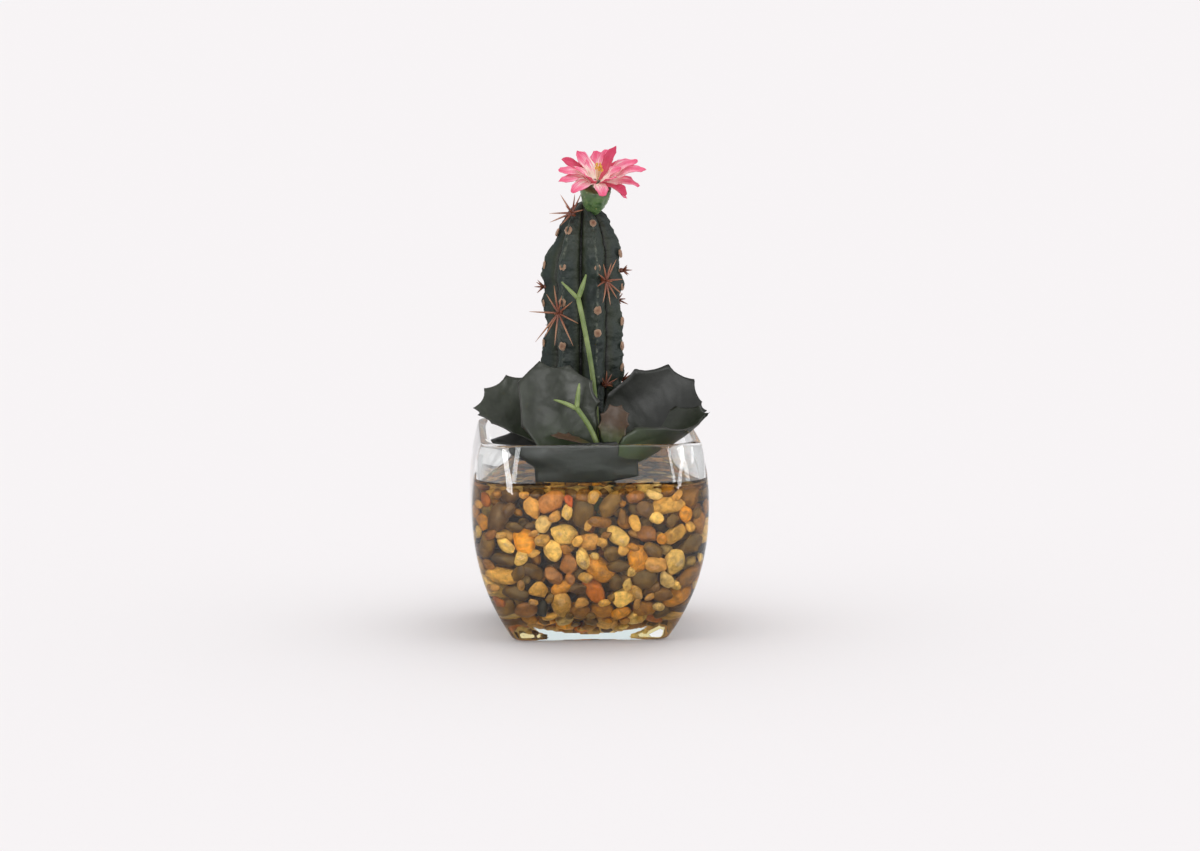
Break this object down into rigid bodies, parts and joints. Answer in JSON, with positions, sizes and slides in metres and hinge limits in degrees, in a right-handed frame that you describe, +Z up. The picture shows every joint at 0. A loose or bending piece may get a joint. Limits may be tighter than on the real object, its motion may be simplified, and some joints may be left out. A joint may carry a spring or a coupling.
{
  "type": "cactus and succulent terrarium",
  "caption": "Ribbed column cactus with a pink flower and a toothed succulent rosette, set in clear resin and river pebbles in a bulged square glass vase.",
  "frame": {"origin": "middle of the vase's flat foot, on the surface it stands on", "axes": "+Z up; -Y towards the front side of the vase, with the succulent rosette in front of the cactus; +X to the right seen from the front"},
  "size_m": [0.1008, 0.098, 0.2042],
  "materials": {
    "clear_glass": "clear pressed glass, polished",
    "clear_resin": "clear set resin that looks like water",
    "river_stone": "smooth river pebbles in cream, tan, amber and brown",
    "cactus_skin": "dark green moulded plastic with a worn sheen on the ribs",
    "spine_brown": "brown plastic spines",
    "receptacle_green": "green moulded plastic with light specks",
    "petal_pink": "pink cloth petals, paler at their bases",
    "stamen_yellow": "yellow plastic stamens",
    "leaf_green": "dark grey-green moulded leaf with a soft sheen",
    "young_leaf": "green moulded leaf, reddish brown at its tip",
    "stem_green": "green moulded stem",
    "sprig_green": "light green moulded sprig"
  },
  "bodies": {
    "root": {"glass_vase": "clear_glass", "clear_resin": "clear_resin", "pebble_bed": "river_stone", "cactus_column": "cactus_skin", "spines_front_left": "spine_brown", "spines_front_right": "spine_brown", "spines_shoulder": "spine_brown", "spines_left": "spine_brown", "spines_right_upper": "spine_brown", "spines_right_lower": "spine_brown", "spines_base": "spine_brown", "spines_back_right": "spine_brown", "spines_back": "spine_brown", "spines_back_left": "spine_brown", "flower_receptacle": "receptacle_green", "flower_petals": "petal_pink", "flower_stamens": "stamen_yellow", "rosette_stem": "stem_green", "leaf_left": "leaf_green", "leaf_back_left": "leaf_green", "leaf_back_right": "leaf_green", "leaf_right": "leaf_green", "leaf_front": "leaf_green", "leaf_low_left": "leaf_green", "leaf_small_right": "young_leaf", "leaf_small_left": "young_leaf", "sprig_rear": "sprig_green", "sprig_front": "sprig_green"}
  },
  "joints": []
}
